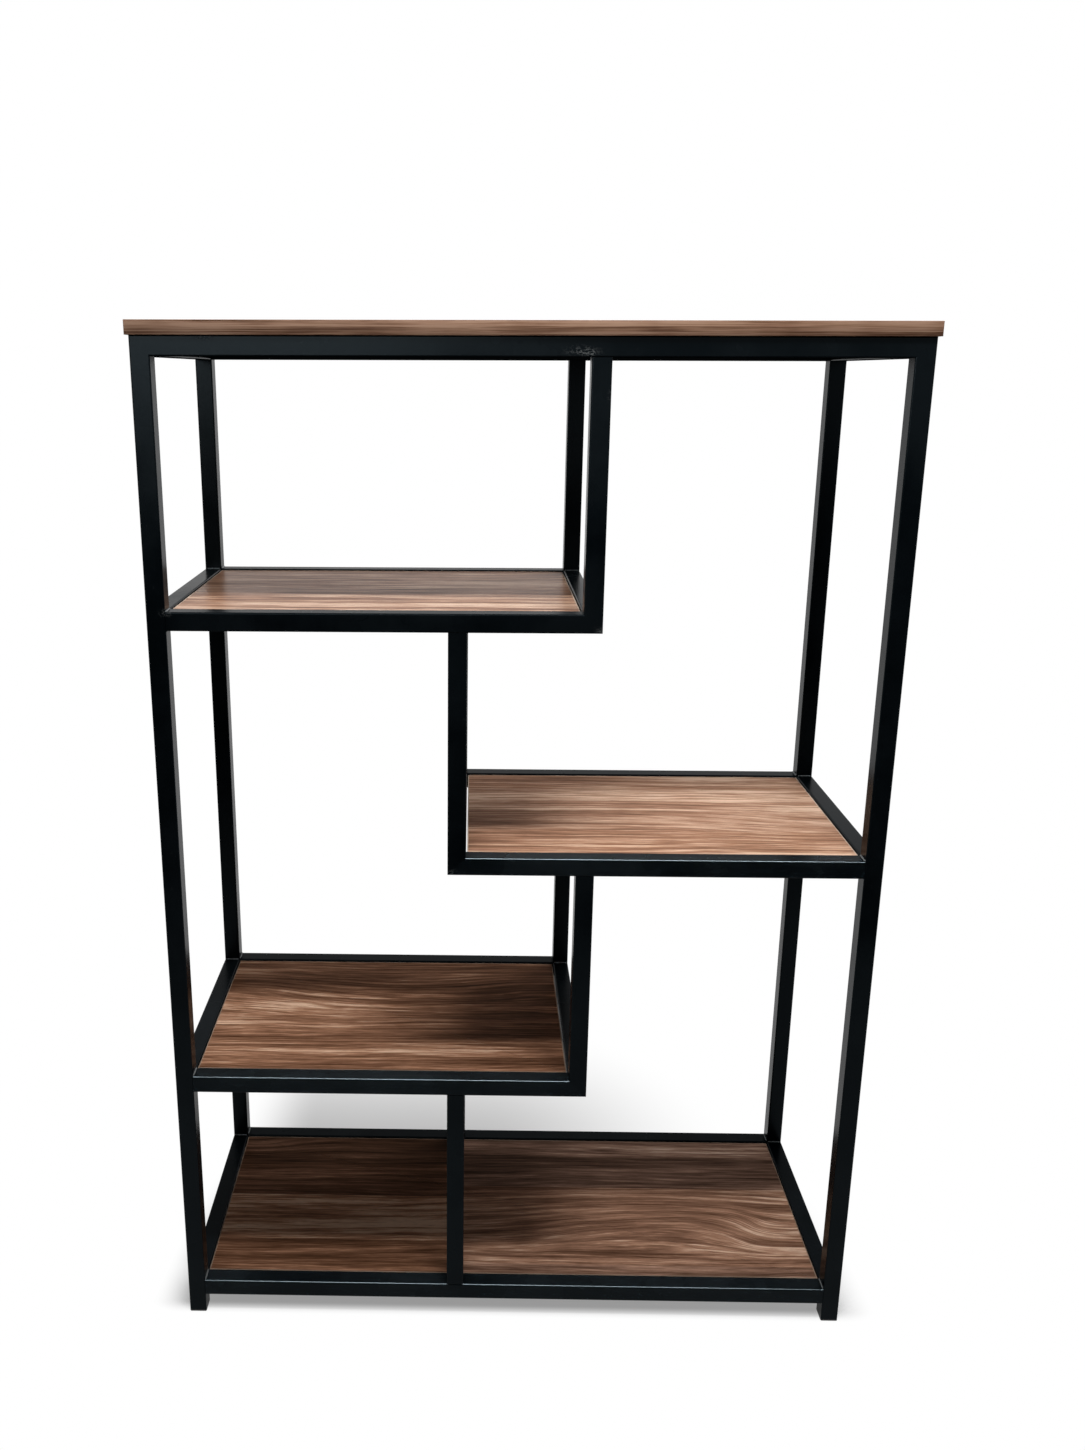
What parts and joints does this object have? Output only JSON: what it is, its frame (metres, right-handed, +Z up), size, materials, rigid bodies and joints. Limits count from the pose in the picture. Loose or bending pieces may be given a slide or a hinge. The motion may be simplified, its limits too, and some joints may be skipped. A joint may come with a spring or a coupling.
{
  "type": "open bookcase",
  "caption": "Tall open bookcase: a black square-tube steel frame with staggered shelf bays, walnut boards that lift out of their frames and a board on top.",
  "frame": {"origin": "on the floor under the middle of the unit", "axes": "+Z up, the front faces -Y, +X to the right as seen from the front"},
  "size_m": [1, 0.4, 1.46],
  "materials": {
    "black_paint": "satin",
    "walnut_board": "satin",
    "walnut_edging": "satin",
    "foot_plastic": "matte",
    "screw_steel": "zinc plated"
  },
  "bodies": {
    "frame": {"front_left_post": "black_paint", "front_right_post": "black_paint", "rear_left_post": "black_paint", "rear_right_post": "black_paint", "front_top_rail": "black_paint", "front_upper_rail": "black_paint", "front_middle_rail": "black_paint", "front_lower_rail": "black_paint", "front_base_rail": "black_paint", "rear_top_rail": "black_paint", "rear_upper_rail": "black_paint", "rear_middle_rail": "black_paint", "rear_lower_rail": "black_paint", "rear_base_rail": "black_paint", "front_upper_divider": "black_paint", "front_middle_divider": "black_paint", "front_lower_divider": "black_paint", "front_base_divider": "black_paint", "rear_upper_divider": "black_paint", "rear_middle_divider": "black_paint", "rear_lower_divider": "black_paint", "rear_base_divider": "black_paint", "left_top_rail": "black_paint", "left_upper_rail": "black_paint", "left_middle_rail": "black_paint", "left_lower_rail": "black_paint", "left_base_rail": "black_paint", "right_top_rail": "black_paint", "right_upper_rail": "black_paint", "right_middle_rail": "black_paint", "right_lower_rail": "black_paint", "right_base_rail": "black_paint", "front_left_foot": "foot_plastic", "front_right_foot": "foot_plastic", "rear_left_foot": "foot_plastic", "rear_right_foot": "foot_plastic", "top_board_tabs": "black_paint", "upper_board_tabs": "black_paint", "middle_board_tabs": "black_paint", "lower_board_tabs": "black_paint", "base_board_tabs": "black_paint", "top_board": "walnut_board", "top_board_edging": "walnut_edging", "top_board_screws": "screw_steel"},
    "upper_board": {"upper_board": "walnut_board"},
    "middle_board": {"middle_board": "walnut_board"},
    "lower_board": {"lower_board": "walnut_board"},
    "base_board": {"base_board": "walnut_board"}
  },
  "joints": [
    {"name": "upper_board_lift", "type": "slide", "parent": "frame", "child": "upper_board", "axis": [0, 0, 1], "range_m": [0, 0.34]},
    {"name": "middle_board_lift", "type": "slide", "parent": "frame", "child": "middle_board", "axis": [0, 0, 1], "range_m": [0, 0.315]},
    {"name": "lower_board_lift", "type": "slide", "parent": "frame", "child": "lower_board", "axis": [0, 0, 1], "range_m": [0, 0.319]},
    {"name": "base_board_lift", "type": "slide", "parent": "frame", "child": "base_board", "axis": [0, 0, 1], "range_m": [0, 0.326]}
  ]
}
